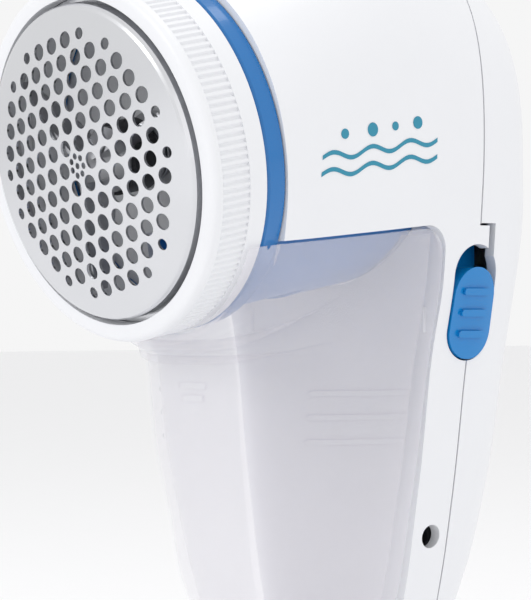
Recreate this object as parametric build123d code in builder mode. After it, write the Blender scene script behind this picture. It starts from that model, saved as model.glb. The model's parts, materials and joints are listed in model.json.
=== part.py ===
"""Rechargeable fabric shaver: a hood with a round shaving head, a clear lint bin and a handle.

The frame: the origin is the crown of the shaving foil, where the tool meets the cloth.  +Z is up
along the handle, +X is the switch side and -Y is the way the head faces.  The head's own axis
leans down by HEAD_TILT.  Depth is measured from the foil's crown, inwards along that axis.
"""

import os
from math import cos, pi, radians, sin

from build123d import *

os.makedirs("parts", exist_ok=True)

# ------------------------------------------------------------------ driving dimensions, mm
HEAD_TILT = 10.84  # how far the head's axis leans down, degrees
WALL = 2.0  # housing wall
GAP = 0.5  # visible gap between the lint bin and the housing
RUN = 0.3  # air left between pieces that move past each other

FOIL_RADIUS = 25.0  # outer radius of the foil cup
FOIL_SHEET = 0.4
FOIL_DOME = 120.0  # radius of the foil's gentle dome
FOIL_RIM_DEPTH = 3.0
HOLE_PITCH = 3.7
HOLE_RADIUS = 1.3
HOLE_FIELD = 21.6  # the holes stay inside this radius
HOLE_TURN = 12.3  # the rows are turned this much about the axis, degrees
FINE_HOLE_RADIUS = 0.5
FINE_HOLE_RING = 1.55

RING_RADIUS = 28.8  # guard ring and collar
RING_FRONT = 3.6
RIB_FRONT = 5.2
RIB_BACK = 10.8
RING_BACK = 14.0
RIB_COUNT = 150
RIB_HEIGHT = 0.4
COLLAR_FRONT = 14.3
COLLAR_BACK = 17.6

HULL_RADIUS = 27.5
HULL_WALL = 1.5
MOTOR_RADIUS = 11.5
MOTOR_FRONT = 22.4
MOTOR_BACK = 46.0
SHAFT_RADIUS = 1.0
BLADE_REACH = 20.4
BLADE_COUNT = 3
FLOAT_TRAVEL = 1.0

PARTING_Y = 59.6  # the plane where the front and rear shells meet
HANDLE_FRONT_Y = 52.1  # the flat front of the handle, behind the bin
BIN_BACK_Y = 51.5
BIN_TOP_Z = -12.4  # the bin's upper edge at y = BIN_EDGE_Y
BIN_EDGE_Y = 19.0
BIN_EDGE_SLOPE = 0.1
BIN_WALL = 1.6
BIN_TAPER = 2.2  # the bin's back leans this far from the handle at the foot

SWITCH_Y = 59.5
SWITCH_WIDTH = 10.0
SWITCH_LENGTH = 18.4
SWITCH_BOTTOM_Z = -30.4
SWITCH_TRAVEL = 3.4

JACK_Y = 56.0
JACK_Z = -58.9
JACK_BORE = 1.75
JACK_DEPTH = 8.0

BATTERY_RADIUS = 7.1
BATTERY_LENGTH = 48.0
BATTERY_X = -6.2
BATTERY_Y = 62.3
BATTERY_BOTTOM_Z = -66.0

SCREW_RADIUS = 1.25
# each screw's x, its z and where its head seats
CASE_SCREWS = [(17.0, 20.0, 65.0), (-17.0, 20.0, 65.0), (6.5, -83.0, 61.6), (-6.5, -83.0, 61.6)]

# The outside form.  The hood's sections fan about a line that runs across just in front of the
# bin's mouth: angle up from +Y, half width, then the near side, widest place and far side as
# distances from that line, and the squareness of the section (2 is an ellipse).
FAN_Y = 17.0
FAN_Z = -31.0
HOOD_SECTIONS = [
    (90.0 + HEAD_TILT, 29.0, 4.6, 33.6, 62.6, 2.0),
    (88.0, 29.3, 4.5, 36.2, 66.2, 2.12),
    (75.0, 29.6, 4.3, 40.5, 73.6, 2.4),
    (62.0, 29.5, 4.2, 44.2, 79.8, 2.75),
    (49.0, 29.2, 4.0, 46.4, 82.6, 2.9),
    (36.0, 28.6, 3.9, 45.6, 77.4, 2.8),
    (24.0, 27.6, 3.8, 43.4, 70.4, 2.6),
    (12.0, 26.1, 3.7, 40.8, 65.0, 2.5),
]
# Below the hood the sections are level: height, half width, front, widest place, back, squareness.
HANDLE_SECTIONS = [
    (-31.0, 24.4, 20.6, 56.7, 79.1, 2.45),
    (-40.0, 23.1, 21.2, 56.2, 78.4, 2.45),
    (-50.0, 21.6, 22.7, 56.2, 77.0, 2.45),
    (-60.0, 19.8, 24.6, 56.0, 75.0, 2.45),
    (-70.0, 17.6, 27.2, 55.2, 71.8, 2.45),
    (-80.0, 15.0, 30.6, 54.0, 67.4, 2.4),
    (-88.0, 12.3, 34.2, 52.6, 63.2, 2.3),
    (-94.5, 9.3, 38.2, 51.3, 59.2, 2.2),
    (-99.0, 6.0, 42.6, 50.2, 55.4, 2.1),
    (-101.2, 3.0, 46.2, 49.8, 52.6, 2.0),
]

# ------------------------------------------------------------------ planes, axes and helpers
TILT_COS = cos(radians(HEAD_TILT))
TILT_SIN = sin(radians(HEAD_TILT))
HEAD_AXIS = Axis((0, 0, 0), (0, -TILT_COS, -TILT_SIN))
# Local x is the radius and local y is the depth.
HEAD_SECTION = Plane(origin=(0, 0, 0), x_dir=(1, 0, 0), z_dir=(0, -TILT_SIN, TILT_COS))


def head_plane(depth):
    """The plane square to the head's axis at a depth; its normal points inwards, local y is down."""
    origin = (0, depth * TILT_COS, depth * TILT_SIN)
    return Plane(origin=origin, x_dir=(1, 0, 0), z_dir=(0, TILT_COS, TILT_SIN))


def side_plane(x):
    """A plane seen from the switch side: local x is world Y and local y is world Z."""
    return Plane(origin=(x, 0, 0), x_dir=(0, 1, 0), z_dir=(1, 0, 0))


def turned_profile(points):
    """A closed outline of (radius, depth) points, ready to turn about the head's axis."""
    with BuildSketch(HEAD_SECTION) as profile:
        with BuildLine():
            Polyline(*points, close=True)
        make_face()
    return profile.sketch


def outline(plane, half_width, near, middle, far, squareness, inset):
    """The +X half of one section of the outside form, drawn in from the outside by inset."""
    steps = 14
    points = []
    for step in range(steps + 1):
        turn = pi * (step / steps - 0.5)
        across = (half_width - inset) * abs(cos(turn)) ** (2 / squareness)
        along = abs(sin(turn)) ** (2 / squareness)
        reach = far - middle - inset if turn > 0 else near - middle + inset
        points.append((across, middle + reach * along))
    points[0] = (0, near + inset)
    points[-1] = (0, far - inset)
    with BuildSketch(plane) as section:
        with BuildLine():
            Spline(*points, tangents=[(1, 0), (-1, 0)])
            Line(points[-1], points[0])
        make_face()
    return section.sketch


def form_sections(inset):
    """Every section of the outside form, from the collar over the hood and down the handle."""
    sections = []
    for angle, half_width, near, middle, far, squareness in HOOD_SECTIONS:
        up = (0, -sin(radians(angle)), cos(radians(angle)))
        plane = Plane(origin=(0, FAN_Y, FAN_Z), x_dir=(1, 0, 0), z_dir=up)
        sections.append(outline(plane, half_width, near, middle, far, squareness, inset))
    last = len(HANDLE_SECTIONS) - 1
    for index, (height, half_width, near, middle, far, squareness) in enumerate(HANDLE_SECTIONS):
        if index == last and inset > 0:
            continue
        plane = Plane.XY.offset(height + (inset if index == last - 1 else 0))
        drawn_in = min(inset, half_width / 2)
        sections.append(outline(plane, half_width, near, middle, far, squareness, drawn_in))
    return sections


def bin_edge_z(y, lift=0.0):
    """Height of the bin's upper edge at y."""
    return BIN_TOP_Z + BIN_EDGE_SLOPE * (y - BIN_EDGE_Y) + lift


def under_edge(back, foot, lift):
    """Side view of what lies under the bin's upper edge and in front of a line near the handle."""
    top_front = (0, bin_edge_z(0, lift))
    top_back = (back, bin_edge_z(back, lift))
    with BuildSketch(side_plane(-40)) as zone:
        with BuildLine():
            Polyline(top_front, top_back, (back, -32), (foot, -112), (0, -112), close=True)
        make_face()
        corner = zone.vertices().sort_by(Axis.Y)[-1]
        fillet(corner, radius=4.0)
    return zone.sketch


# ------------------------------------------------------------------ the outside form
with BuildPart() as outer_form:
    loft(form_sections(0))
    mirror(about=Plane.YZ)

with BuildPart() as inner_form:
    loft(form_sections(WALL))
    mirror(about=Plane.YZ)

with BuildPart() as flange_form:
    loft(form_sections(WALL + 0.15))
    mirror(about=Plane.YZ)

with BuildPart() as bin_inner_form:
    loft(form_sections(BIN_WALL))
    mirror(about=Plane.YZ)

with BuildPart() as raised_form:
    loft(form_sections(-0.35))
    mirror(about=Plane.YZ)

with BuildPart() as ridge_form:
    loft(form_sections(-0.9))
    mirror(about=Plane.YZ)

# Everything ahead of the hood's front end.
with BuildPart() as ahead_of_hood:
    with BuildSketch(head_plane(COLLAR_BACK + RUN)):
        Circle(60)
    extrude(amount=-60)

# The room that the collar and the chamber hull need inside the bin's mouth.
with BuildPart() as head_room:
    with BuildSketch(head_plane(-5)):
        Circle(RING_RADIUS + 2 * RUN)
    extrude(amount=5 + COLLAR_BACK + RUN)
    with BuildSketch(head_plane(COLLAR_BACK)):
        Circle(HULL_RADIUS + RUN)
    extrude(amount=40)

with BuildPart() as bin_space:
    extrude(under_edge(BIN_BACK_Y, BIN_BACK_Y - BIN_TAPER, 0), amount=80)

with BuildPart() as bin_clearance:
    extrude(under_edge(HANDLE_FRONT_Y, HANDLE_FRONT_Y, GAP), amount=80)

# The stadium hole for the switch and the little step in the parting line above it.
POCKET_LENGTH = SWITCH_LENGTH + 2 * 0.15
POCKET_Z = SWITCH_BOTTOM_Z + SWITCH_LENGTH / 2
with BuildPart() as switch_pocket:
    with BuildSketch(side_plane(12)):
        with Locations((SWITCH_Y, POCKET_Z)):
            SlotOverall(POCKET_LENGTH, SWITCH_WIDTH, rotation=90)
    extrude(amount=20)

# The parting line steps back a little just above the switch, where the front shell has a tongue.
STEP_BOTTOM = POCKET_Z + POCKET_LENGTH / 2 - 3.5
STEP_TOP = POCKET_Z + POCKET_LENGTH / 2 + 3.4
SEAM_LINE = 0.3
with BuildPart() as behind_seam:
    with BuildSketch(side_plane(-40)):
        with Locations((PARTING_Y + 30, -30)):
            Rectangle(60, 160)
    extrude(amount=80)
    with BuildSketch(side_plane(12)):
        with Locations((PARTING_Y + 1.0, (STEP_BOTTOM + STEP_TOP) / 2 - 0.2)):
            Rectangle(2.6, STEP_TOP - STEP_BOTTOM - 0.4)
    extrude(amount=28, mode=Mode.SUBTRACT)

with BuildPart() as ahead_of_seam:
    with BuildSketch(side_plane(-40)):
        with Locations((PARTING_Y + SEAM_LINE - 30, -30)):
            Rectangle(60, 160)
    extrude(amount=80)
    with BuildSketch(side_plane(12)) as step_face:
        with Locations((PARTING_Y + 1.5, (STEP_BOTTOM + STEP_TOP) / 2)):
            Rectangle(4.6, STEP_TOP - STEP_BOTTOM)
        fillet(step_face.vertices().group_by(Axis.Y)[-1].sort_by(Axis.Z)[-1:], radius=1.6)
    extrude(amount=28)

# ------------------------------------------------------------------ front shell
# The hollow inside the housing; the handle keeps a flat wall behind the bin.
with BuildPart() as front_hollow:
    add(inner_form.part)
    with BuildSketch(side_plane(-40)):
        with Locations((HANDLE_FRONT_Y + 0.8, -59)):
            Rectangle(1.6, 100)
    extrude(amount=80, mode=Mode.SUBTRACT)

# Bosses for the four case screws; the upper two stand on webs from the side walls.
BOSS_RADIUS = 3.0
UPPER_BOSS_START = 47.0
with BuildPart() as front_bosses:
    for x, z, seat in CASE_SCREWS:
        start = UPPER_BOSS_START if z > 0 else HANDLE_FRONT_Y + 0.8
        with BuildSketch(Plane.XZ.offset(-start)):
            with Locations((x, z)):
                Circle(BOSS_RADIUS)
            if z > 0:
                with Locations((x + 6 * (1 if x > 0 else -1), z)):
                    Rectangle(14, 1.6)
        extrude(amount=-(PARTING_Y - 0.1 - start))
    add(bin_inner_form.part, mode=Mode.INTERSECT)
    for x, z, seat in CASE_SCREWS:
        start = UPPER_BOSS_START + 1 if z > 0 else HANDLE_FRONT_Y + 1.9
        with BuildSketch(Plane.XZ.offset(-start)):
            with Locations((x, z)):
                Circle(SCREW_RADIUS + 0.05)
        extrude(amount=-20, mode=Mode.SUBTRACT)

with BuildPart() as front_shell:
    add(outer_form.part)
    add(front_hollow.part, mode=Mode.SUBTRACT)
    add(ahead_of_hood.part, mode=Mode.SUBTRACT)
    add(bin_clearance.part, mode=Mode.SUBTRACT)
    add(behind_seam.part, mode=Mode.SUBTRACT)
    add(front_bosses.part)
    add(switch_pocket.part, mode=Mode.SUBTRACT)
    with BuildSketch(side_plane(12)):
        with Locations((JACK_Y, JACK_Z)):
            Circle(JACK_BORE + 0.15)
    extrude(amount=20, mode=Mode.SUBTRACT)
front_shell.part.label = "front_shell"
export_step(front_shell.part, "parts/front_shell.step")

# ------------------------------------------------------------------ rear shell
# Tubes run from the back of the shell to the parting plane and hold the screws' heads.
with BuildPart() as rear_bosses:
    for x, z, seat in CASE_SCREWS:
        with BuildSketch(Plane.XZ.offset(-(PARTING_Y + SEAM_LINE))):
            with Locations((x, z)):
                Circle(BOSS_RADIUS + 0.8)
        extrude(amount=-(90 - PARTING_Y))
    add(bin_inner_form.part, mode=Mode.INTERSECT)

with BuildPart() as screw_wells:
    for x, z, seat in CASE_SCREWS:
        with BuildSketch(Plane.XZ.offset(-seat)):
            with Locations((x, z)):
                Circle(2.8)
        extrude(amount=-40)
        with BuildSketch(Plane.XZ.offset(-50)):
            with Locations((x, z)):
                Circle(SCREW_RADIUS + 0.3)
        extrude(amount=-40)

with BuildPart() as rear_shell:
    add(outer_form.part)
    add(inner_form.part, mode=Mode.SUBTRACT)
    add(ahead_of_seam.part, mode=Mode.SUBTRACT)
    add(rear_bosses.part)
    add(screw_wells.part, mode=Mode.SUBTRACT)
    add(switch_pocket.part, mode=Mode.SUBTRACT)
rear_shell.part.label = "rear_shell"
export_step(rear_shell.part, "parts/rear_shell.step")

# ------------------------------------------------------------------ case screws
with BuildPart() as case_screws:
    for x, z, seat in CASE_SCREWS:
        length = 11.0 if z > 0 else 6.8
        with BuildSketch(Plane.XZ.offset(-(seat + 0.02))):
            with Locations((x, z)):
                Circle(2.5)
        extrude(amount=-1.7)
        with BuildSketch(Plane.XZ.offset(-(seat + 0.02))):
            with Locations((x, z)):
                Circle(SCREW_RADIUS)
        extrude(amount=length)
        with BuildSketch(Plane.XZ.offset(-(seat + 0.8))):
            with Locations((x, z)):
                Rectangle(2.8, 0.7)
                Rectangle(0.7, 2.8)
        extrude(amount=-2, mode=Mode.SUBTRACT)
case_screws.part.label = "case_screws"
export_step(case_screws.part, "parts/case_screws.step")

# ------------------------------------------------------------------ lint bin
with BuildPart() as bin_hollow:
    extrude(under_edge(BIN_BACK_Y - BIN_WALL, BIN_BACK_Y - BIN_TAPER - BIN_WALL, 12), amount=80)
    add(bin_inner_form.part, mode=Mode.INTERSECT)

# Three raised lines on each side, and a raised arrow on the front that shows which way it slides.
LINE_HEIGHTS = (-35.5, -39.3, -43.2)
with BuildPart() as bin_marks:
    for height in LINE_HEIGHTS:
        with BuildSketch(side_plane(-40)):
            with Locations((39.5, height)):
                SlotOverall(17.0, 0.8)
        extrude(amount=80)
    add(raised_form.part, mode=Mode.INTERSECT)
    add(bin_inner_form.part, mode=Mode.SUBTRACT)

ARROW_X = 2.5
ARROW_Z = -38.0
with BuildPart() as bin_arrow:
    with BuildSketch(Plane.XZ.offset(-30)):
        with Locations((ARROW_X, ARROW_Z - 3.0)):
            with BuildLine():
                Polyline((-3.2, 1.6), (3.2, 1.6), (0, -2.4), close=True)
            make_face()
        for step in range(3):
            with Locations((ARROW_X, ARROW_Z + 1.6 + 2.0 * step)):
                Rectangle(5.0 + 1.2 * step, 0.9)
    extrude(amount=30)
    add(raised_form.part, mode=Mode.INTERSECT)
    add(bin_inner_form.part, mode=Mode.SUBTRACT)

with BuildPart() as lint_bin:
    add(bin_space.part)
    add(outer_form.part, mode=Mode.INTERSECT)
    add(bin_marks.part)
    add(bin_arrow.part)
    add(bin_hollow.part, mode=Mode.SUBTRACT)
    add(head_room.part, mode=Mode.SUBTRACT)
lint_bin.part.label = "lint_bin"
export_step(lint_bin.part, "parts/lint_bin.step")

# Two small catches on the handle's front edges that the bin snaps past.
with BuildPart() as bin_catches:
    for side in (1, -1):
        with BuildSketch(side_plane(side * 20.0)):
            with Locations((HANDLE_FRONT_Y - 0.25, -24.0)):
                Rectangle(0.5, 4.0)
        extrude(amount=side * 3.0)
bin_catches.part.label = "bin_catches"
export_step(bin_catches.part, "parts/bin_catches.step")

# ------------------------------------------------------------------ chamber hull and lint chute
PORT_HALF_WIDTH = 9.0
PORT_FRONT = 21.5
PORT_BACK = 34.0
HULL_END_Y = HANDLE_FRONT_Y - 0.25
with BuildPart() as hull_tub:
    with BuildSketch(head_plane(COLLAR_BACK + RUN)):
        Circle(HULL_RADIUS)
    extrude(amount=50)
    with BuildSketch(side_plane(-40)):
        with BuildLine():
            Polyline(
                (0, bin_edge_z(0, GAP)),
                (HULL_END_Y, bin_edge_z(HULL_END_Y, GAP)),
                (HULL_END_Y, -40),
                (0, -40),
                close=True,
            )
        make_face()
    extrude(amount=80, mode=Mode.INTERSECT)

with BuildPart() as hull_flange:
    with BuildSketch(side_plane(-40)):
        with BuildLine():
            Polyline(
                (0, bin_edge_z(0, GAP)),
                (HULL_END_Y, bin_edge_z(HULL_END_Y, GAP)),
                (HULL_END_Y, bin_edge_z(HULL_END_Y, GAP + HULL_WALL)),
                (0, bin_edge_z(0, GAP + HULL_WALL)),
                close=True,
            )
        make_face()
    extrude(amount=80)
    add(flange_form.part, mode=Mode.INTERSECT)
    with BuildSketch(head_plane(COLLAR_BACK + 2 * RUN)):
        Circle(60)
    extrude(amount=-60, mode=Mode.SUBTRACT)

with BuildPart() as chamber_hull:
    add(hull_tub.part)
    add(hull_flange.part)
    with BuildSketch(head_plane(0)):
        Circle(HULL_RADIUS - HULL_WALL)
    extrude(amount=48.0, mode=Mode.SUBTRACT)
    with BuildSketch(head_plane(PORT_FRONT)):
        with Locations((0, 26)):
            Rectangle(2 * PORT_HALF_WIDTH, 12)
    extrude(amount=PORT_BACK - PORT_FRONT, mode=Mode.SUBTRACT)
chamber_hull.part.label = "chamber_hull"
export_step(chamber_hull.part, "parts/chamber_hull.step")

# A box duct takes the lint from the window in the bulkhead to the port in the hull's floor.
DUCT_TOP = 12.5
DUCT_WALL = 1.2
with BuildPart() as lint_chute:
    with BuildSketch(head_plane(COLLAR_BACK + 2.6)):
        with Locations((0, DUCT_TOP + 10)):
            Rectangle(2 * (PORT_HALF_WIDTH + DUCT_WALL), 20)
    extrude(amount=PORT_BACK + DUCT_WALL - COLLAR_BACK - 2.6)
    with BuildSketch(head_plane(COLLAR_BACK)):
        Circle(HULL_RADIUS - HULL_WALL - 0.15)
    extrude(amount=40, mode=Mode.INTERSECT)
    with BuildSketch(head_plane(COLLAR_BACK)):
        with Locations((0, DUCT_TOP + DUCT_WALL + 15)):
            Rectangle(2 * PORT_HALF_WIDTH, 30)
    extrude(amount=PORT_BACK - COLLAR_BACK, mode=Mode.SUBTRACT)
lint_chute.part.label = "lint_chute"
export_step(lint_chute.part, "parts/lint_chute.step")

# ------------------------------------------------------------------ bulkhead and collar
BULKHEAD_FRONT = 18.1
BULKHEAD_BACK = 20.1
SEAL_RADIUS = 4.1
MOTOR_SCREW_X = 8.6
BULKHEAD_RADIUS = HULL_RADIUS - HULL_WALL - 0.3
with BuildPart() as bulkhead:
    revolve(
        turned_profile(
            [
                (SEAL_RADIUS + 0.05, BULKHEAD_FRONT),
                (BULKHEAD_RADIUS, BULKHEAD_FRONT),
                (BULKHEAD_RADIUS, BULKHEAD_BACK),
                (6.5, BULKHEAD_BACK),
                (6.5, MOTOR_FRONT - 0.05),
                (SEAL_RADIUS + 0.05, MOTOR_FRONT - 0.05),
            ]
        ),
        axis=HEAD_AXIS,
    )
    with BuildSketch(head_plane(BULKHEAD_FRONT - 1)):
        with Locations((0, DUCT_TOP + DUCT_WALL + 5.0)):
            Rectangle(2 * PORT_HALF_WIDTH, 10.0)
    extrude(amount=4, mode=Mode.SUBTRACT)
    with BuildSketch(head_plane(BULKHEAD_BACK - 0.1)):
        with Locations((MOTOR_SCREW_X, 0), (-MOTOR_SCREW_X, 0)):
            Circle(2.2)
    extrude(amount=MOTOR_FRONT - BULKHEAD_BACK)
    with BuildSketch(head_plane(BULKHEAD_FRONT - 1)):
        with Locations((MOTOR_SCREW_X, 0), (-MOTOR_SCREW_X, 0)):
            Circle(1.05)
    extrude(amount=10, mode=Mode.SUBTRACT)
bulkhead.part.label = "bulkhead"
export_step(bulkhead.part, "parts/bulkhead.step")

with BuildPart() as collar_ring:
    revolve(
        turned_profile(
            [
                (26.6, COLLAR_FRONT),
                (RING_RADIUS - 0.4, COLLAR_FRONT),
                (RING_RADIUS, COLLAR_FRONT + 0.4),
                (RING_RADIUS, COLLAR_BACK),
                (25.3, COLLAR_BACK),
                (25.3, COLLAR_BACK - 0.3),
                (26.6, COLLAR_BACK - 0.3),
            ]
        ),
        axis=HEAD_AXIS,
    )
collar_ring.part.label = "collar_ring"
export_step(collar_ring.part, "parts/collar_ring.step")

# ------------------------------------------------------------------ guard ring
FOIL_FLANGE_RADIUS = 26.4
FOIL_FLANGE_DEPTH = 6.6
VALLEY_RADIUS = RING_RADIUS - RIB_HEIGHT
CREST_RADIUS = RING_RADIUS - 0.05
with BuildPart() as guard_ring:
    with BuildSketch(HEAD_SECTION) as ring_profile:
        with BuildLine():
            Polyline(
                (25.9, RING_FRONT),
                (RING_RADIUS, RING_FRONT),
                (RING_RADIUS, RIB_FRONT + 0.1),
                (VALLEY_RADIUS - 0.2, RIB_FRONT + 0.1),
                (VALLEY_RADIUS - 0.2, RIB_BACK - 0.1),
                (RING_RADIUS, RIB_BACK - 0.1),
                (RING_RADIUS, RING_BACK),
                (26.2, RING_BACK),
                (26.2, COLLAR_BACK - 0.6),
                (25.0, COLLAR_BACK - 0.6),
                (25.0, 10.2),
                (26.8, 9.8),
                (26.8, FOIL_FLANGE_DEPTH - 0.3),
                (25.9, FOIL_FLANGE_DEPTH - 0.3),
                close=True,
            )
        make_face()
        fillet(ring_profile.vertices().group_by(Axis.Y)[0].sort_by(Axis.X)[-1], radius=1.3)
    revolve(axis=HEAD_AXIS)
    tooth_points = []
    for rib in range(RIB_COUNT):
        for share, radius in zip((0, 0.24, 0.56, 0.8), (VALLEY_RADIUS, CREST_RADIUS, CREST_RADIUS, VALLEY_RADIUS)):
            turn = 2 * pi * (rib + share) / RIB_COUNT
            tooth_points.append((radius * cos(turn), radius * sin(turn)))
    with BuildSketch(head_plane(RIB_FRONT)):
        with BuildLine():
            Polyline(*tooth_points, close=True)
        make_face()
        Circle(VALLEY_RADIUS - 0.8, mode=Mode.SUBTRACT)
    extrude(amount=RIB_BACK - RIB_FRONT)
guard_ring.part.label = "guard_ring"
export_step(guard_ring.part, "parts/guard_ring.step")

# ------------------------------------------------------------------ shaving foil
RIM_RADIUS = 24.2


def dome_depth(radius):
    """Depth of the foil's outside face at a radius."""
    return FOIL_DOME - (FOIL_DOME**2 - radius**2) ** 0.5


with BuildPart() as shaving_foil:
    with BuildSketch(HEAD_SECTION):
        with BuildLine():
            ThreePointArc((0, 0), (12, dome_depth(12)), (RIM_RADIUS, dome_depth(RIM_RADIUS)))
            Polyline(
                (RIM_RADIUS, dome_depth(RIM_RADIUS)),
                (24.7, FOIL_RIM_DEPTH - 0.3),
                (FOIL_RADIUS, FOIL_RIM_DEPTH + 0.3),
                (FOIL_RADIUS, FOIL_FLANGE_DEPTH),
                (FOIL_FLANGE_RADIUS, FOIL_FLANGE_DEPTH),
                (FOIL_FLANGE_RADIUS, FOIL_FLANGE_DEPTH + FOIL_SHEET),
                (FOIL_RADIUS - FOIL_SHEET, FOIL_FLANGE_DEPTH + FOIL_SHEET),
                (FOIL_RADIUS - FOIL_SHEET, FOIL_RIM_DEPTH + 0.45),
                (RIM_RADIUS - 0.1, dome_depth(RIM_RADIUS) + FOIL_SHEET),
            )
            ThreePointArc(
                (RIM_RADIUS - 0.1, dome_depth(RIM_RADIUS) + FOIL_SHEET),
                (12, dome_depth(12) + FOIL_SHEET),
                (0, FOIL_SHEET),
            )
            Line((0, FOIL_SHEET), (0, 0))
        make_face()
    revolve(axis=HEAD_AXIS)
    full_holes = []
    edge_holes = []
    for row in range(-7, 8):
        for column in range(-7, 8):
            along = HOLE_PITCH * (column + row / 2)
            across = HOLE_PITCH * row * 3**0.5 / 2
            distance = (along**2 + across**2) ** 0.5
            turn = radians(-HOLE_TURN)
            spot = (along * cos(turn) - across * sin(turn), along * sin(turn) + across * cos(turn))
            if 0.1 < distance < HOLE_FIELD - HOLE_RADIUS:
                full_holes.append(spot)
            elif HOLE_FIELD - HOLE_RADIUS <= distance < HOLE_FIELD:
                edge_holes.append(spot)
    with BuildSketch(head_plane(-1)):
        with Locations(*full_holes):
            Circle(HOLE_RADIUS)
        with Locations(*edge_holes):
            Circle(HOLE_RADIUS * 0.7)
        Circle(FINE_HOLE_RADIUS)
        with PolarLocations(FINE_HOLE_RING, 7):
            Circle(FINE_HOLE_RADIUS)
    extrude(amount=6, mode=Mode.SUBTRACT)
shaving_foil.part.label = "shaving_foil"
export_step(shaving_foil.part, "parts/shaving_foil.step")

with BuildPart() as foil_retainer:
    revolve(
        turned_profile([(24.0, 7.05), (FOIL_FLANGE_RADIUS, 7.05), (FOIL_FLANGE_RADIUS, 9.3), (24.0, 9.3)]),
        axis=HEAD_AXIS,
    )
foil_retainer.part.label = "foil_retainer"
export_step(foil_retainer.part, "parts/foil_retainer.step")

# ------------------------------------------------------------------ cutter
BLADE_GAP = 0.25
BLADE_ROOT = 3.0
HUB_TOP = 6.0
HUB_BACK = 12.0
SQUARE = 5.0


def blade_edge(radius):
    """Depth of the cutting edge at a radius, just under the foil."""
    return dome_depth(radius) + FOIL_SHEET + BLADE_GAP


with BuildPart() as wing:
    with BuildSketch(HEAD_SECTION):
        with BuildLine():
            ThreePointArc(
                (BLADE_ROOT, blade_edge(BLADE_ROOT)),
                (12, blade_edge(12)),
                (BLADE_REACH, blade_edge(BLADE_REACH)),
            )
            Polyline(
                (BLADE_REACH, blade_edge(BLADE_REACH)),
                (BLADE_REACH, 4.6),
                (9, HUB_TOP + 0.8),
                (BLADE_ROOT, HUB_TOP + 0.8),
                (BLADE_ROOT, blade_edge(BLADE_ROOT)),
            )
        make_face()
    extrude(amount=0.35, both=True)

with BuildPart() as cutter_blades:
    with BuildSketch(head_plane(HUB_TOP)):
        Circle(5.2)
    extrude(amount=0.8)
    for index in range(BLADE_COUNT):
        add(wing.part.rotate(HEAD_AXIS, 360 / BLADE_COUNT * index + 20))
cutter_blades.part.label = "cutter_blades"
export_step(cutter_blades.part, "parts/cutter_blades.step")

with BuildPart() as blade_carrier:
    with BuildSketch(head_plane(HUB_TOP + 0.85)):
        Circle(5.8)
    extrude(amount=HUB_BACK - HUB_TOP - 0.85)
    with BuildSketch(head_plane(HUB_TOP + 2.0)):
        Rectangle(SQUARE + 0.4, SQUARE + 0.4)
    extrude(amount=10, mode=Mode.SUBTRACT)
blade_carrier.part.label = "blade_carrier"
export_step(blade_carrier.part, "parts/blade_carrier.step")

COUPLER_TIP = HUB_TOP + 2.0 + FLOAT_TRAVEL + 0.4
COUPLER_BASE = 15.0
with BuildPart() as drive_coupler:
    with BuildSketch(head_plane(COUPLER_TIP)):
        Rectangle(SQUARE, SQUARE)
    extrude(amount=COUPLER_BASE - COUPLER_TIP)
    with BuildSketch(head_plane(COUPLER_BASE)):
        Circle(6.2)
    extrude(amount=1.4)
    with BuildSketch(head_plane(COUPLER_TIP + 1)):
        Circle(SHAFT_RADIUS + 0.02)
    extrude(amount=10, mode=Mode.SUBTRACT)
drive_coupler.part.label = "drive_coupler"
export_step(drive_coupler.part, "parts/drive_coupler.step")

SPRING_RADIUS = 4.7
SPRING_WIRE = 0.3
SPRING_START = HUB_BACK + SPRING_WIRE + 0.05
SPRING_HEIGHT = COUPLER_BASE - HUB_BACK - 2 * (SPRING_WIRE + 0.05)
with BuildPart() as blade_spring:
    with BuildLine():
        coil = Helix(
            pitch=SPRING_HEIGHT / 2.5,
            height=SPRING_HEIGHT,
            radius=SPRING_RADIUS,
            center=head_plane(SPRING_START).origin,
            direction=head_plane(SPRING_START).z_dir,
        )
    with BuildSketch(Plane(origin=coil @ 0, z_dir=coil % 0)):
        Circle(SPRING_WIRE)
    sweep()
blade_spring.part.label = "blade_spring"
export_step(blade_spring.part, "parts/blade_spring.step")

# ------------------------------------------------------------------ motor
with BuildPart() as motor_shaft:
    with BuildSketch(head_plane(COUPLER_TIP + 1.05)):
        Circle(SHAFT_RADIUS)
    extrude(amount=46.3 - COUPLER_TIP - 1.05)
motor_shaft.part.label = "motor_shaft"
export_step(motor_shaft.part, "parts/motor_shaft.step")

BEARING = SHAFT_RADIUS + 0.06
with BuildPart() as shaft_seal:
    revolve(
        turned_profile([(BEARING, 17.2), (SEAL_RADIUS, 17.2), (SEAL_RADIUS, 20.0), (BEARING, 20.0)]),
        axis=HEAD_AXIS,
    )
shaft_seal.part.label = "shaft_seal"
export_step(shaft_seal.part, "parts/shaft_seal.step")

MAGNET_FRONT = 25.0
MAGNET_BACK = 41.0
CAN_BACK = MOTOR_BACK - 2.0
with BuildPart() as motor_can:
    revolve(
        turned_profile(
            [
                (BEARING, 20.6),
                (3.0, 20.6),
                (3.0, MOTOR_FRONT),
                (MOTOR_RADIUS, MOTOR_FRONT),
                (MOTOR_RADIUS, CAN_BACK),
                (MOTOR_RADIUS - 0.8, CAN_BACK),
                (MOTOR_RADIUS - 0.8, MOTOR_FRONT + 0.8),
                (BEARING, MOTOR_FRONT + 0.8),
            ]
        ),
        axis=HEAD_AXIS,
    )
    with BuildSketch(head_plane(MOTOR_FRONT - 1)):
        with Locations((MOTOR_SCREW_X, 0), (-MOTOR_SCREW_X, 0)):
            Circle(1.05)
    extrude(amount=3, mode=Mode.SUBTRACT)
motor_can.part.label = "motor_can"
export_step(motor_can.part, "parts/motor_can.step")

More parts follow.
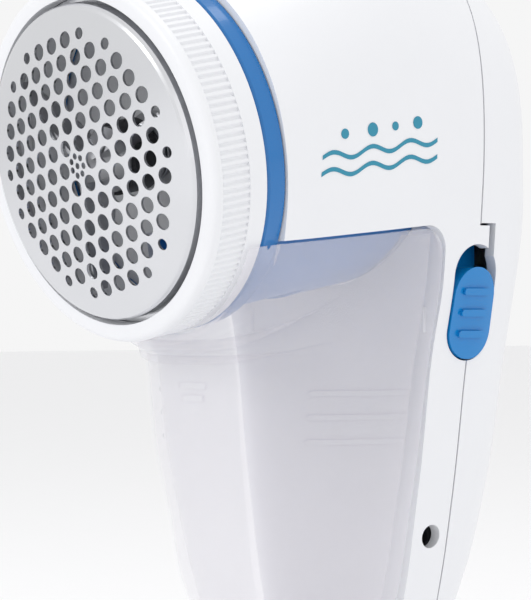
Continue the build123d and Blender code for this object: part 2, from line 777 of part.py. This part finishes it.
with BuildPart() as motor_screws:
    for side in (1, -1):
        with BuildSketch(head_plane(BULKHEAD_FRONT - 1.05)):
            with Locations((side * MOTOR_SCREW_X, 0)):
                Circle(1.8)
        extrude(amount=1.0)
        with BuildSketch(head_plane(BULKHEAD_FRONT - 0.5)):
            with Locations((side * MOTOR_SCREW_X, 0)):
                Circle(1.0)
        extrude(amount=MOTOR_FRONT + 1.8 - BULKHEAD_FRONT)
motor_screws.part.label = "motor_screws"
export_step(motor_screws.part, "parts/motor_screws.step")

with BuildPart() as motor_magnets:
    revolve(
        turned_profile(
            [(8.2, MAGNET_FRONT), (10.6, MAGNET_FRONT), (10.6, MAGNET_BACK), (8.2, MAGNET_BACK)]
        ),
        axis=HEAD_AXIS,
    )
    with BuildSketch(head_plane(MAGNET_FRONT - 1)):
        Rectangle(30, 5)
    extrude(amount=20, mode=Mode.SUBTRACT)
motor_magnets.part.label = "motor_magnets"
export_step(motor_magnets.part, "parts/motor_magnets.step")

with BuildPart() as armature:
    revolve(
        turned_profile(
            [
                (SHAFT_RADIUS + 0.02, MAGNET_FRONT + 1),
                (7.4, MAGNET_FRONT + 1),
                (7.4, MAGNET_BACK - 1),
                (SHAFT_RADIUS + 0.02, MAGNET_BACK - 1),
            ]
        ),
        axis=HEAD_AXIS,
    )
    with BuildSketch(head_plane(MAGNET_FRONT)):
        with PolarLocations(5.6, 3):
            Rectangle(5, 2)
    extrude(amount=20, mode=Mode.SUBTRACT)
armature.part.label = "armature"
export_step(armature.part, "parts/armature.step")

with BuildPart() as armature_windings:
    revolve(turned_profile([(2.4, 24.2), (6.6, 24.2), (6.6, 25.95), (2.4, 25.95)]), axis=HEAD_AXIS)
    revolve(turned_profile([(3.2, 40.05), (6.6, 40.05), (6.6, 41.6), (3.2, 41.6)]), axis=HEAD_AXIS)
armature_windings.part.label = "armature_windings"
export_step(armature_windings.part, "parts/armature_windings.step")

with BuildPart() as commutator:
    revolve(
        turned_profile(
            [(SHAFT_RADIUS + 0.02, 40.4), (2.5, 40.4), (2.5, 43.2), (SHAFT_RADIUS + 0.02, 43.2)]
        ),
        axis=HEAD_AXIS,
    )
commutator.part.label = "commutator"
export_step(commutator.part, "parts/commutator.step")

with BuildPart() as motor_brushes:
    with BuildSketch(head_plane(41.9)):
        with Locations((5.0, 0), (-5.0, 0)):
            Rectangle(4.6, 1.6)
    extrude(amount=1.2)
motor_brushes.part.label = "motor_brushes"
export_step(motor_brushes.part, "parts/motor_brushes.step")

with BuildPart() as motor_end_cap:
    revolve(
        turned_profile(
            [
                (3.2, 43.4),
                (MOTOR_RADIUS - 0.9, 43.4),
                (MOTOR_RADIUS - 0.9, CAN_BACK + 0.05),
                (MOTOR_RADIUS, CAN_BACK + 0.05),
                (MOTOR_RADIUS, 45.4),
                (3.4, 45.4),
                (3.4, 46.6),
                (BEARING, 46.6),
                (BEARING, 44.4),
                (3.2, 44.4),
            ]
        ),
        axis=HEAD_AXIS,
    )
motor_end_cap.part.label = "motor_end_cap"
export_step(motor_end_cap.part, "parts/motor_end_cap.step")

TERMINAL_X = 6.5
with BuildPart() as motor_terminals:
    with BuildSketch(head_plane(45.45)):
        with Locations((TERMINAL_X, 0), (-TERMINAL_X, 0)):
            Rectangle(0.6, 2.6)
    extrude(amount=3.6)
motor_terminals.part.label = "motor_terminals"
export_step(motor_terminals.part, "parts/motor_terminals.step")

# ------------------------------------------------------------------ switch
SLIDER_FLANGE_X = 19.6
SLIDER_FLANGE_THICK = 0.9
KNOB_LENGTH = SWITCH_LENGTH - SWITCH_TRAVEL - 0.2
KNOB_Z = SWITCH_BOTTOM_Z + 0.1 + KNOB_LENGTH / 2
with BuildPart() as knob_block:
    with BuildSketch(side_plane(SLIDER_FLANGE_X)):
        with Locations((SWITCH_Y, KNOB_Z)):
            SlotOverall(KNOB_LENGTH, SWITCH_WIDTH - 0.6, rotation=90)
    extrude(amount=12)
    add(raised_form.part, mode=Mode.INTERSECT)

with BuildPart() as knob_ridges:
    with BuildSketch(side_plane(SLIDER_FLANGE_X)):
        for step in (-1, 0, 1):
            with Locations((SWITCH_Y, KNOB_Z + 3.4 * step)):
                SlotOverall(6.0, 1.1)
    extrude(amount=12)
    add(ridge_form.part, mode=Mode.INTERSECT)

with BuildPart() as switch_slider:
    add(knob_block.part)
    add(knob_ridges.part)
    with BuildSketch(side_plane(SLIDER_FLANGE_X)):
        with Locations((SWITCH_Y, -23.0)):
            Rectangle(11.2, 23.6)
    extrude(amount=SLIDER_FLANGE_THICK)
switch_slider.part.label = "switch_slider"
export_step(switch_slider.part, "parts/switch_slider.step")

with BuildPart() as switch_lever:
    with BuildSketch(side_plane(17.2)):
        with Locations((SWITCH_Y, -25.0)):
            Rectangle(1.8, 2.4)
    extrude(amount=SLIDER_FLANGE_X - 17.2)
switch_lever.part.label = "switch_lever"
export_step(switch_lever.part, "parts/switch_lever.step")

with BuildPart() as slide_switch:
    with BuildSketch(side_plane(14.9)):
        with Locations((SWITCH_Y, -22.0)):
            Rectangle(8.0, 16.0)
    extrude(amount=4.0)
    with BuildSketch(side_plane(16.9)):
        with Locations((SWITCH_Y, -23.0)):
            Rectangle(2.4, 8.6)
    extrude(amount=4.0, mode=Mode.SUBTRACT)
slide_switch.part.label = "slide_switch"
export_step(slide_switch.part, "parts/slide_switch.step")

# ------------------------------------------------------------------ battery, board and socket
BATTERY_TOP_Z = BATTERY_BOTTOM_Z + BATTERY_LENGTH
with BuildPart() as battery_cell:
    with BuildSketch(Plane.XY.offset(BATTERY_BOTTOM_Z)):
        with Locations((BATTERY_X, BATTERY_Y)):
            Circle(BATTERY_RADIUS)
    extrude(amount=BATTERY_LENGTH)
    fillet(battery_cell.edges().filter_by(GeomType.CIRCLE), radius=0.5)
    with BuildSketch(Plane.XY.offset(BATTERY_TOP_Z - 0.1)):
        with Locations((BATTERY_X, BATTERY_Y)):
            Circle(2.6)
    extrude(amount=1.3)
battery_cell.part.label = "battery_cell"
export_step(battery_cell.part, "parts/battery_cell.step")

with BuildPart() as battery_contacts:
    with BuildSketch(Plane.XY.offset(BATTERY_BOTTOM_Z - 0.45)):
        with Locations((BATTERY_X, BATTERY_Y)):
            Rectangle(9, 9)
    extrude(amount=0.4)
    with BuildSketch(Plane.XY.offset(BATTERY_TOP_Z + 1.25)):
        with Locations((BATTERY_X, BATTERY_Y)):
            Rectangle(9, 9)
    extrude(amount=0.4)
battery_contacts.part.label = "battery_contacts"
export_step(battery_contacts.part, "parts/battery_contacts.step")

with BuildPart() as battery_cradle:
    with BuildSketch(Plane.XY.offset(BATTERY_BOTTOM_Z + 3)) as cradle_face:
        with Locations((BATTERY_X, HANDLE_FRONT_Y + 4.8)):
            Rectangle(2 * BATTERY_RADIUS + 2.4, 6.0)
        with Locations((BATTERY_X, BATTERY_Y)):
            Circle(BATTERY_RADIUS + 0.15, mode=Mode.SUBTRACT)
    extrude(amount=BATTERY_LENGTH - 6)
battery_cradle.part.label = "battery_cradle"
export_step(battery_cradle.part, "parts/battery_cradle.step")

SOCKET_FRONT_X = 17.4
BOARD_Y = 58.8
with BuildPart() as charging_socket:
    with BuildSketch(side_plane(SOCKET_FRONT_X - JACK_DEPTH - 1.4)):
        with Locations((JACK_Y + 0.3, JACK_Z)):
            Rectangle(4.8, 5.4)
    extrude(amount=JACK_DEPTH + 1.4)
    with BuildSketch(side_plane(SOCKET_FRONT_X - JACK_DEPTH)):
        with Locations((JACK_Y, JACK_Z)):
            Circle(JACK_BORE)
    extrude(amount=JACK_DEPTH, mode=Mode.SUBTRACT)
charging_socket.part.label = "charging_socket"
export_step(charging_socket.part, "parts/charging_socket.step")

with BuildPart() as circuit_board:
    with BuildSketch(Plane.XZ.offset(-BOARD_Y)):
        with Locations((8.2, -55.0)):
            Rectangle(9.6, 34.0)
    extrude(amount=-1.4)
circuit_board.part.label = "circuit_board"
export_step(circuit_board.part, "parts/circuit_board.step")

with BuildPart() as board_components:
    with BuildSketch(Plane.XZ.offset(-(BOARD_Y + 1.45))):
        with Locations((8.2, -48.0)):
            Rectangle(5.0, 6.0)
        with Locations((6.0, -58.0), (10.4, -58.0)):
            Rectangle(2.0, 3.4)
        with Locations((8.2, -66.0)):
            Rectangle(4.4, 4.4)
    extrude(amount=-1.6)
board_components.part.label = "board_components"
export_step(board_components.part, "parts/board_components.step")

# ------------------------------------------------------------------ wires inside the housing
WIRE_RADIUS = 0.6


def wire_tube(points):
    """A wire along straight runs joined by tangent arcs as large as the runs allow."""
    route = [Vector(*point) for point in points]
    radii = []
    for before, corner, after in zip(route, route[1:], route[2:]):
        turn = radians((corner - before).get_angle(after - corner))
        run = min((corner - before).length, (after - corner).length)
        radii.append(0.45 * run / (sin(turn / 2) / cos(turn / 2)))
    with BuildLine() as path:
        FilletPolyline(*points, radius=radii)
    with BuildSketch(Plane(origin=path.line @ 0, z_dir=path.line % 0)) as section:
        Circle(WIRE_RADIUS)
    return sweep(section.sketch, path=path.line)


TERMINAL_SPOT = head_plane(50.0).from_local_coords((TERMINAL_X, 0))
red_run = wire_tube(
    [
        (TERMINAL_X, TERMINAL_SPOT.Y, TERMINAL_SPOT.Z),
        (7.5, TERMINAL_SPOT.Y + 6, TERMINAL_SPOT.Z - 1),
        (12.0, TERMINAL_SPOT.Y + 9.5, TERMINAL_SPOT.Z - 8),
        (16.4, SWITCH_Y, -7.0),
        (16.9, SWITCH_Y, -13.9),
    ]
)
with BuildPart() as wire_red:
    add(red_run)
wire_red.part.label = "wire_red"
export_step(wire_red.part, "parts/wire_red.step")

black_run = wire_tube(
    [
        (-TERMINAL_X, TERMINAL_SPOT.Y, TERMINAL_SPOT.Z),
        (-7.0, TERMINAL_SPOT.Y + 7, TERMINAL_SPOT.Z - 1.5),
        (-8.5, TERMINAL_SPOT.Y + 12, TERMINAL_SPOT.Z - 8),
        (-7.5, BATTERY_Y + 1, -8.0),
        (BATTERY_X, BATTERY_Y, BATTERY_TOP_Z + 1.7),
    ]
)
with BuildPart() as wire_black:
    add(black_run)
wire_black.part.label = "wire_black"
export_step(wire_black.part, "parts/wire_black.step")

yellow_run = wire_tube(
    [
        (16.9, SWITCH_Y, -30.2),
        (15.6, SWITCH_Y + 0.5, -33.2),
        (11.0, BOARD_Y + 0.9, -34.2),
        (9.2, BOARD_Y + 0.7, -37.7),
    ]
)
with BuildPart() as wire_yellow:
    add(yellow_run)
wire_yellow.part.label = "wire_yellow"
export_step(wire_yellow.part, "parts/wire_yellow.step")
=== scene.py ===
# %% [markdown]
# # A fabric shaver
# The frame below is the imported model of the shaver.  Its parts already have their real shapes,
# so this lesson gives them their finishes, prints a mark on the hood, and sets up a small studio.

# %% Load the frame
import json
from math import cos, pi, sin

import bpy
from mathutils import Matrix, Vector
from mathutils.bvhtree import BVHTree


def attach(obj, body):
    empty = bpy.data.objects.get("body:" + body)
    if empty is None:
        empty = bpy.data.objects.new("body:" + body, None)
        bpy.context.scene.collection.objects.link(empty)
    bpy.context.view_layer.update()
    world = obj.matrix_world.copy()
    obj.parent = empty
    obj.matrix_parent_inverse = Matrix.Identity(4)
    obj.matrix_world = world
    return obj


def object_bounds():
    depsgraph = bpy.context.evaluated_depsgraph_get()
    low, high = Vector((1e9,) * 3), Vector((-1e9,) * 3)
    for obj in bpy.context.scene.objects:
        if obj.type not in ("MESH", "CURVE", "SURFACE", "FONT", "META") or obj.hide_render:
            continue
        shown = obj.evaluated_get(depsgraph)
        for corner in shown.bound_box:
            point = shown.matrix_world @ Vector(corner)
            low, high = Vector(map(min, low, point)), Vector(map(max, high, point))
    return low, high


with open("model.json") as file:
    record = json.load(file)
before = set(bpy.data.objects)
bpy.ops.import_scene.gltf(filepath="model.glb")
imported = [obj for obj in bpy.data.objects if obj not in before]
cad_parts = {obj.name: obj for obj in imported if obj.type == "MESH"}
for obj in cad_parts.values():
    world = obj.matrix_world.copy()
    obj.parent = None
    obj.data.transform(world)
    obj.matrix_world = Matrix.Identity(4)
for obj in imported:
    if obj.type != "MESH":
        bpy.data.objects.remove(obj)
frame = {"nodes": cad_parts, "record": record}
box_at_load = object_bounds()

SLOT_OF = {entry["node"]: entry["material_slot"] for entry in frame["record"]["subparts"]}

# %% [markdown]
# ## Colours
# Blender's shaders want linear light, but a paint or plastic is easier to name in the numbers of
# a colour chart.  This helper turns chart values, 0 to 255, into the linear values.

# %% Chart colours to linear
def chart(red, green, blue):
    linear = []
    for value in (red / 255, green / 255, blue / 255):
        linear.append(value / 12.92 if value <= 0.04045 else ((value + 0.055) / 1.055) ** 2.4)
    return (*linear, 1.0)

print("collar blue:", [round(v, 3) for v in chart(18, 96, 165)[:3]])

# %% [markdown]
# ## Shared surface effects
# Moulded plastic is never quite even: the mould leaves a fine grain, and handling leaves faint
# smudges that change the gloss.  Two node groups hold these, so that each material only states
# how strong it wants them.

# %% Node groups for grain and for handling
def new_group(name, inputs, outputs):
    group = bpy.data.node_groups.new(name, "ShaderNodeTree")
    for label, value in inputs.items():
        socket = group.interface.new_socket(label, in_out="INPUT", socket_type="NodeSocketFloat")
        socket.default_value = value
    for label, kind in outputs.items():
        group.interface.new_socket(label, in_out="OUTPUT", socket_type=kind)
    return group, group.nodes.new("NodeGroupInput"), group.nodes.new("NodeGroupOutput")


def math_node(tree, operation, first, second):
    node = tree.nodes.new("ShaderNodeMath")
    node.operation = operation
    for slot, value in zip(node.inputs, (first, second)):
        if isinstance(value, (int, float)):
            slot.default_value = value
        else:
            tree.links.new(value, slot)
    return node.outputs[0]


def noise_node(tree, scale, detail, vector):
    node = tree.nodes.new("ShaderNodeTexNoise")
    node.inputs["Detail"].default_value = detail
    tree.links.new(vector, node.inputs["Vector"])
    if isinstance(scale, (int, float)):
        node.inputs["Scale"].default_value = scale
    else:
        tree.links.new(scale, node.inputs["Scale"])
    return node.outputs["Fac"]


# Grain: a fine height, for a Bump node.
grain_group, grain_in, grain_out = new_group(
    "moulded_grain", {"Scale": 2500.0, "Depth": 0.5}, {"Height": "NodeSocketFloat"}
)
grain_place = grain_group.nodes.new("ShaderNodeTexCoord").outputs["Object"]
grain_height = noise_node(grain_group, grain_in.outputs["Scale"], 3.0, grain_place)
grain_depth = math_node(grain_group, "MULTIPLY", grain_height, grain_in.outputs["Depth"])
grain_group.links.new(grain_depth, grain_out.inputs["Height"])

# Handling: a roughness that wanders about its middle value, and a mask for the tone of the colour.
handling_group, handling_in, handling_out = new_group(
    "handling", {"Scale": 90.0, "Roughness": 0.35, "Spread": 0.1},
    {"Roughness": "NodeSocketFloat", "Mask": "NodeSocketFloat"},
)
handling_place = handling_group.nodes.new("ShaderNodeTexCoord").outputs["Object"]
patches = noise_node(handling_group, handling_in.outputs["Scale"], 4.0, handling_place)
centred = math_node(handling_group, "SUBTRACT", patches, 0.5)
swing = math_node(handling_group, "MULTIPLY", centred, handling_in.outputs["Spread"])
wandering = math_node(handling_group, "ADD", swing, handling_in.outputs["Roughness"])
handling_group.links.new(wandering, handling_out.inputs["Roughness"])
handling_group.links.new(patches, handling_out.inputs["Mask"])
print("groups:", [g.name for g in bpy.data.node_groups])

# %% [markdown]
# ## One recipe, many finishes
# Every finish here is a Principled shader with two close tones of one colour, a wandering
# roughness and a fine bump.  What makes steel steel and plastic plastic is a few plain numbers on
# the shader itself, so the recipe takes those as a dictionary.

# %% The recipe
BUMP_DISTANCE = 0.00005


def finish(name, colour, roughness, spread=0.1, tone=0.06, grain=0.3, grain_scale=2500.0, **plain):
    """A material.  tone is how much darker the second colour is; plain sets shader sockets."""
    material = bpy.data.materials.new(name)
    material.use_nodes = True
    tree = material.node_tree
    shader = tree.nodes["Principled BSDF"]

    handling = tree.nodes.new("ShaderNodeGroup")
    handling.node_tree = handling_group
    handling.inputs["Roughness"].default_value = roughness
    handling.inputs["Spread"].default_value = spread
    tree.links.new(handling.outputs["Roughness"], shader.inputs["Roughness"])

    tones = tree.nodes.new("ShaderNodeMix")
    tones.data_type = "RGBA"
    tones.inputs["A"].default_value = colour
    tones.inputs["B"].default_value = (*[v * (1 - tone) for v in colour[:3]], 1.0)
    tree.links.new(handling.outputs["Mask"], tones.inputs["Factor"])
    tree.links.new(tones.outputs["Result"], shader.inputs["Base Color"])

    grained = tree.nodes.new("ShaderNodeGroup")
    grained.node_tree = grain_group
    grained.inputs["Scale"].default_value = grain_scale
    bump = tree.nodes.new("ShaderNodeBump")
    bump.inputs["Strength"].default_value = grain
    bump.inputs["Distance"].default_value = BUMP_DISTANCE
    tree.links.new(grained.outputs["Height"], bump.inputs["Height"])
    tree.links.new(bump.outputs["Normal"], shader.inputs["Normal"])

    for socket, value in plain.items():
        shader.inputs[socket.replace("_", " ")].default_value = value
    return material


# %% [markdown]
# ## The outside: white housing, blue collar, clear bin
# The housing is a satin plastic.  The collar and the switch
# are dyed through and polished.  The bin is a clear plastic frosted on its inside, which is why
# the hull behind it looks soft: the shader keeps a part of each surface's own pale colour and lets
# the rest, and the light, straight through.

# %% Outside finishes
finishes = {
    "white_housing": finish("white_housing", chart(236, 237, 240), 0.34, tone=0.03, grain=0.12),
    "blue_collar": finish("blue_collar", chart(18, 112, 182), 0.16, grain=0.04, Coat_Weight=0.3),
    "switch_blue": finish("switch_blue", chart(8, 128, 200), 0.2, grain=0.05, Coat_Weight=0.2),
    "blue_hull": finish("blue_hull", chart(44, 116, 184), 0.3, grain=0.08),
    "clear_bin": finish(
        "clear_bin", chart(244, 242, 248), 0.2, spread=0.08, tone=0.02, grain=0.06,
        Alpha=0.24,
    ),
}
print("outside finishes:", sorted(finishes))

# %% [markdown]
# ## The metal: foil, blades, motor
# The foil is etched and then polished, so it is bright but not a mirror.  The metals inside are
# duller, and copper only differs by its colour.

# %% Metals
finishes.update({
    "foil_steel": finish("foil_steel", chart(222, 223, 226), 0.24, grain=0.08, Metallic=1.0),
    "blade_steel": finish("blade_steel", chart(190, 191, 194), 0.3, grain=0.2, Metallic=1.0),
    "motor_steel": finish("motor_steel", chart(186, 188, 190), 0.36, grain=0.2, Metallic=1.0),
    "spring_steel": finish("spring_steel", chart(170, 172, 176), 0.28, grain=0.1, Metallic=1.0),
    "screw_steel": finish("screw_steel", chart(165, 167, 172), 0.35, grain=0.2, Metallic=1.0),
    "copper": finish("copper", chart(205, 120, 82), 0.3, grain=0.2, Metallic=1.0),
    "magnet": finish("magnet", chart(62, 62, 66), 0.6, grain=0.4),
})
print("with metals:", len(finishes))

# %% [markdown]
# ## The inside: plain engineering plastics
# These are hidden when the shaver is shut, but the bin and the foil come off, so they are
# finished too.

# %% Inside finishes
finishes.update({
    "dark_plastic": finish("dark_plastic", chart(40, 41, 45), 0.5, grain=0.4),
    "grey_plastic": finish("grey_plastic", chart(182, 184, 188), 0.45, grain=0.3),
    "seal_felt": finish("seal_felt", chart(216, 211, 196), 0.9, tone=0.2, grain=1.0, grain_scale=6000.0),
    "battery_sleeve": finish("battery_sleeve", chart(52, 130, 96), 0.3, grain=0.1),
    "board": finish("board", chart(26, 104, 62), 0.3, grain=0.2),
    "wire_red": finish("wire_red", chart(196, 40, 34), 0.4, grain=0.1),
    "wire_black": finish("wire_black", chart(30, 30, 32), 0.4, grain=0.1),
    "wire_yellow": finish("wire_yellow", chart(222, 180, 50), 0.4, grain=0.1),
})
print("all finishes:", len(finishes))

# %% Give every node its finish
for node, thing in frame["nodes"].items():
    slots = thing.data.materials
    slots.clear()
    slots.append(finishes[SLOT_OF[node]])
print("dressed:", len(frame["nodes"]))

# %% [markdown]
# ## The printed mark
# A shaver's side usually carries a small printed mark.  This one is a plain picture of the job: a
# wavy line of cloth with a few bobbles of lint over it.  Print has almost no thickness, so each
# stroke is a flat ribbon laid a hair above the shell.  A ray from the side finds the shell's
# surface, which follows any curve without measuring it.

# %% Find the shell's surface from the side
INK_LIFT = 0.00006
STROKE = 0.0007
RAY_START = 0.06
shells = [
    BVHTree.FromPolygons(
        [v.co.copy() for v in frame["nodes"][node].data.vertices],
        [list(p.vertices) for p in frame["nodes"][node].data.polygons],
    )
    for node in ("front_shell", "rear_shell")
]


def on_shell(y, z):
    """The outermost point of the shells at this y and z, lifted off along the surface's normal."""
    hits = [tree.ray_cast(Vector((RAY_START, y, z)), Vector((-1, 0, 0))) for tree in shells]
    place, normal = max(((h[0], h[1]) for h in hits if h[0] is not None), key=lambda found: found[0].x)
    return place + normal.normalized() * (INK_LIFT if normal.x > 0 else -INK_LIFT)


print("shell at the mark:", [round(v, 4) for v in on_shell(0.036, 0.004)])

# %% Ribbons and dots
def print_piece(name, points, faces):
    mesh = bpy.data.meshes.new(name)
    mesh.from_pydata([on_shell(y, z) for y, z in points], [], faces)
    mesh.materials.append(print_ink)
    piece = bpy.data.objects.new(name, mesh)
    bpy.context.collection.objects.link(piece)
    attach(piece, "housing")
    return piece


def ribbon(name, path):
    points = [(y, z + side * STROKE / 2) for y, z in path for side in (-1, 1)]
    faces = [(2 * i, 2 * i + 2, 2 * i + 3, 2 * i + 1) for i in range(len(path) - 1)]
    return print_piece(name, points, faces)


def dot(name, y, z, radius, corners=24):
    turns = [2 * pi * corner / corners for corner in range(corners)]
    rim = [(y + radius * cos(turn), z + radius * sin(turn)) for turn in turns]
    faces = [(corners, k, (k + 1) % corners) for k in range(corners)]
    return print_piece(name, rim + [(y, z)], faces)


print_ink = finish("print_ink", chart(42, 140, 168), 0.4, grain=0.05)
MARK_START, MARK_END = (0.025, 0.001), (0.049, 0.0045)
WAVE_DROPS = (0.0, 0.0026)  # how far each wave lies below the mark's line
WAVE_HEIGHT = 0.0006
WAVE_COUNT = 3
WAVE_STEPS = 72
BOBBLES = ((0.18, 0.0008), (0.42, 0.0011), (0.62, 0.0007), (0.82, 0.001))  # share of the line, radius
BOBBLE_RISE = 0.0032


def along_mark(share):
    """The place a share of the way along the mark's line."""
    return [start + share * (end - start) for start, end in zip(MARK_START, MARK_END)]


for row, drop in enumerate(WAVE_DROPS):
    path = []
    for step in range(WAVE_STEPS + 1):
        share = step / WAVE_STEPS
        y, z = along_mark(share)
        path.append((y, z - drop + WAVE_HEIGHT * sin(share * 2 * WAVE_COUNT * pi)))
    ribbon(f"printed_wave_{row}", path)
for number, (share, radius) in enumerate(BOBBLES):
    y, z = along_mark(share)
    dot(f"printed_bobble_{number}", y, z + BOBBLE_RISE, radius)
print("printed pieces:", len(WAVE_DROPS), "waves,", len(BOBBLES), "bobbles")

# %% [markdown]
# ## The studio
# A white object on white needs soft light with a direction: a big panel to the left of the camera
# models the ribs and the hood, a weaker one fills, and one from above gives the top its edge.

# %% Floor
FLOOR_REACH = 4.0
floor_height = box_at_load[0][2]
floor_corners = [(-1, -1), (1, -1), (1, 1), (-1, 1)]
floor_mesh = bpy.data.meshes.new("floor")
floor_mesh.from_pydata(
    [(x * FLOOR_REACH, y * FLOOR_REACH, floor_height) for x, y in floor_corners], [], [(0, 1, 2, 3)]
)
floor_paint = finish(
    "studio_floor", chart(246, 246, 247), 0.7, tone=0.01, grain=0.1, grain_scale=400.0
)
floor_mesh.materials.append(floor_paint)
floor = bpy.data.objects.new("floor", floor_mesh)
bpy.context.collection.objects.link(floor)
print("floor at z", round(floor_height, 4))

# %% Lights
LIT_SPOT = Vector((0, 0.03, -0.03))
ROOM_BRIGHTNESS = 0.92


def panel(name, place, size, power):
    light = bpy.data.lights.new(name, "AREA")
    light.size = size
    light.energy = power
    thing = bpy.data.objects.new(name, light)
    thing.location = place
    thing.rotation_euler = (LIT_SPOT - Vector(place)).to_track_quat("-Z", "Y").to_euler()
    bpy.context.collection.objects.link(thing)


panel("key", (-0.15, -0.9, 0.45), 0.35, 1.9)
panel("fill", (0.9, 0.0, 0.25), 0.7, 0.5)
panel("top", (0.1, 0.2, 0.9), 0.5, 1.4)
world = bpy.data.worlds.new("studio")
world.use_nodes = True
room_light = world.node_tree.nodes["Background"]
room_light.inputs["Color"].default_value = (1.0, 1.0, 1.0, 1.0)
room_light.inputs["Strength"].default_value = ROOM_BRIGHTNESS
bpy.context.scene.world = world
bpy.context.scene.view_settings.view_transform = "Standard"
print("lights: 3 panels and a pale room")

# %% [markdown]
# ## The camera
# A long lens from the side and a little in front, level with the bin's upper edge.

# %% Camera
EYE = Vector((0.4364, -0.3252, -0.0208))
LOOK = Vector((-0.769, 0.640, 0.0))
camera_data = bpy.data.cameras.new("camera")
camera_data.lens = 210.0
camera_data.sensor_width = 36.0
camera = bpy.data.objects.new("camera", camera_data)
camera.location = EYE
camera.rotation_euler = LOOK.to_track_quat("-Z", "Y").to_euler()
bpy.context.collection.objects.link(camera)
bpy.context.scene.camera = camera
print("camera at", [round(v, 3) for v in EYE])
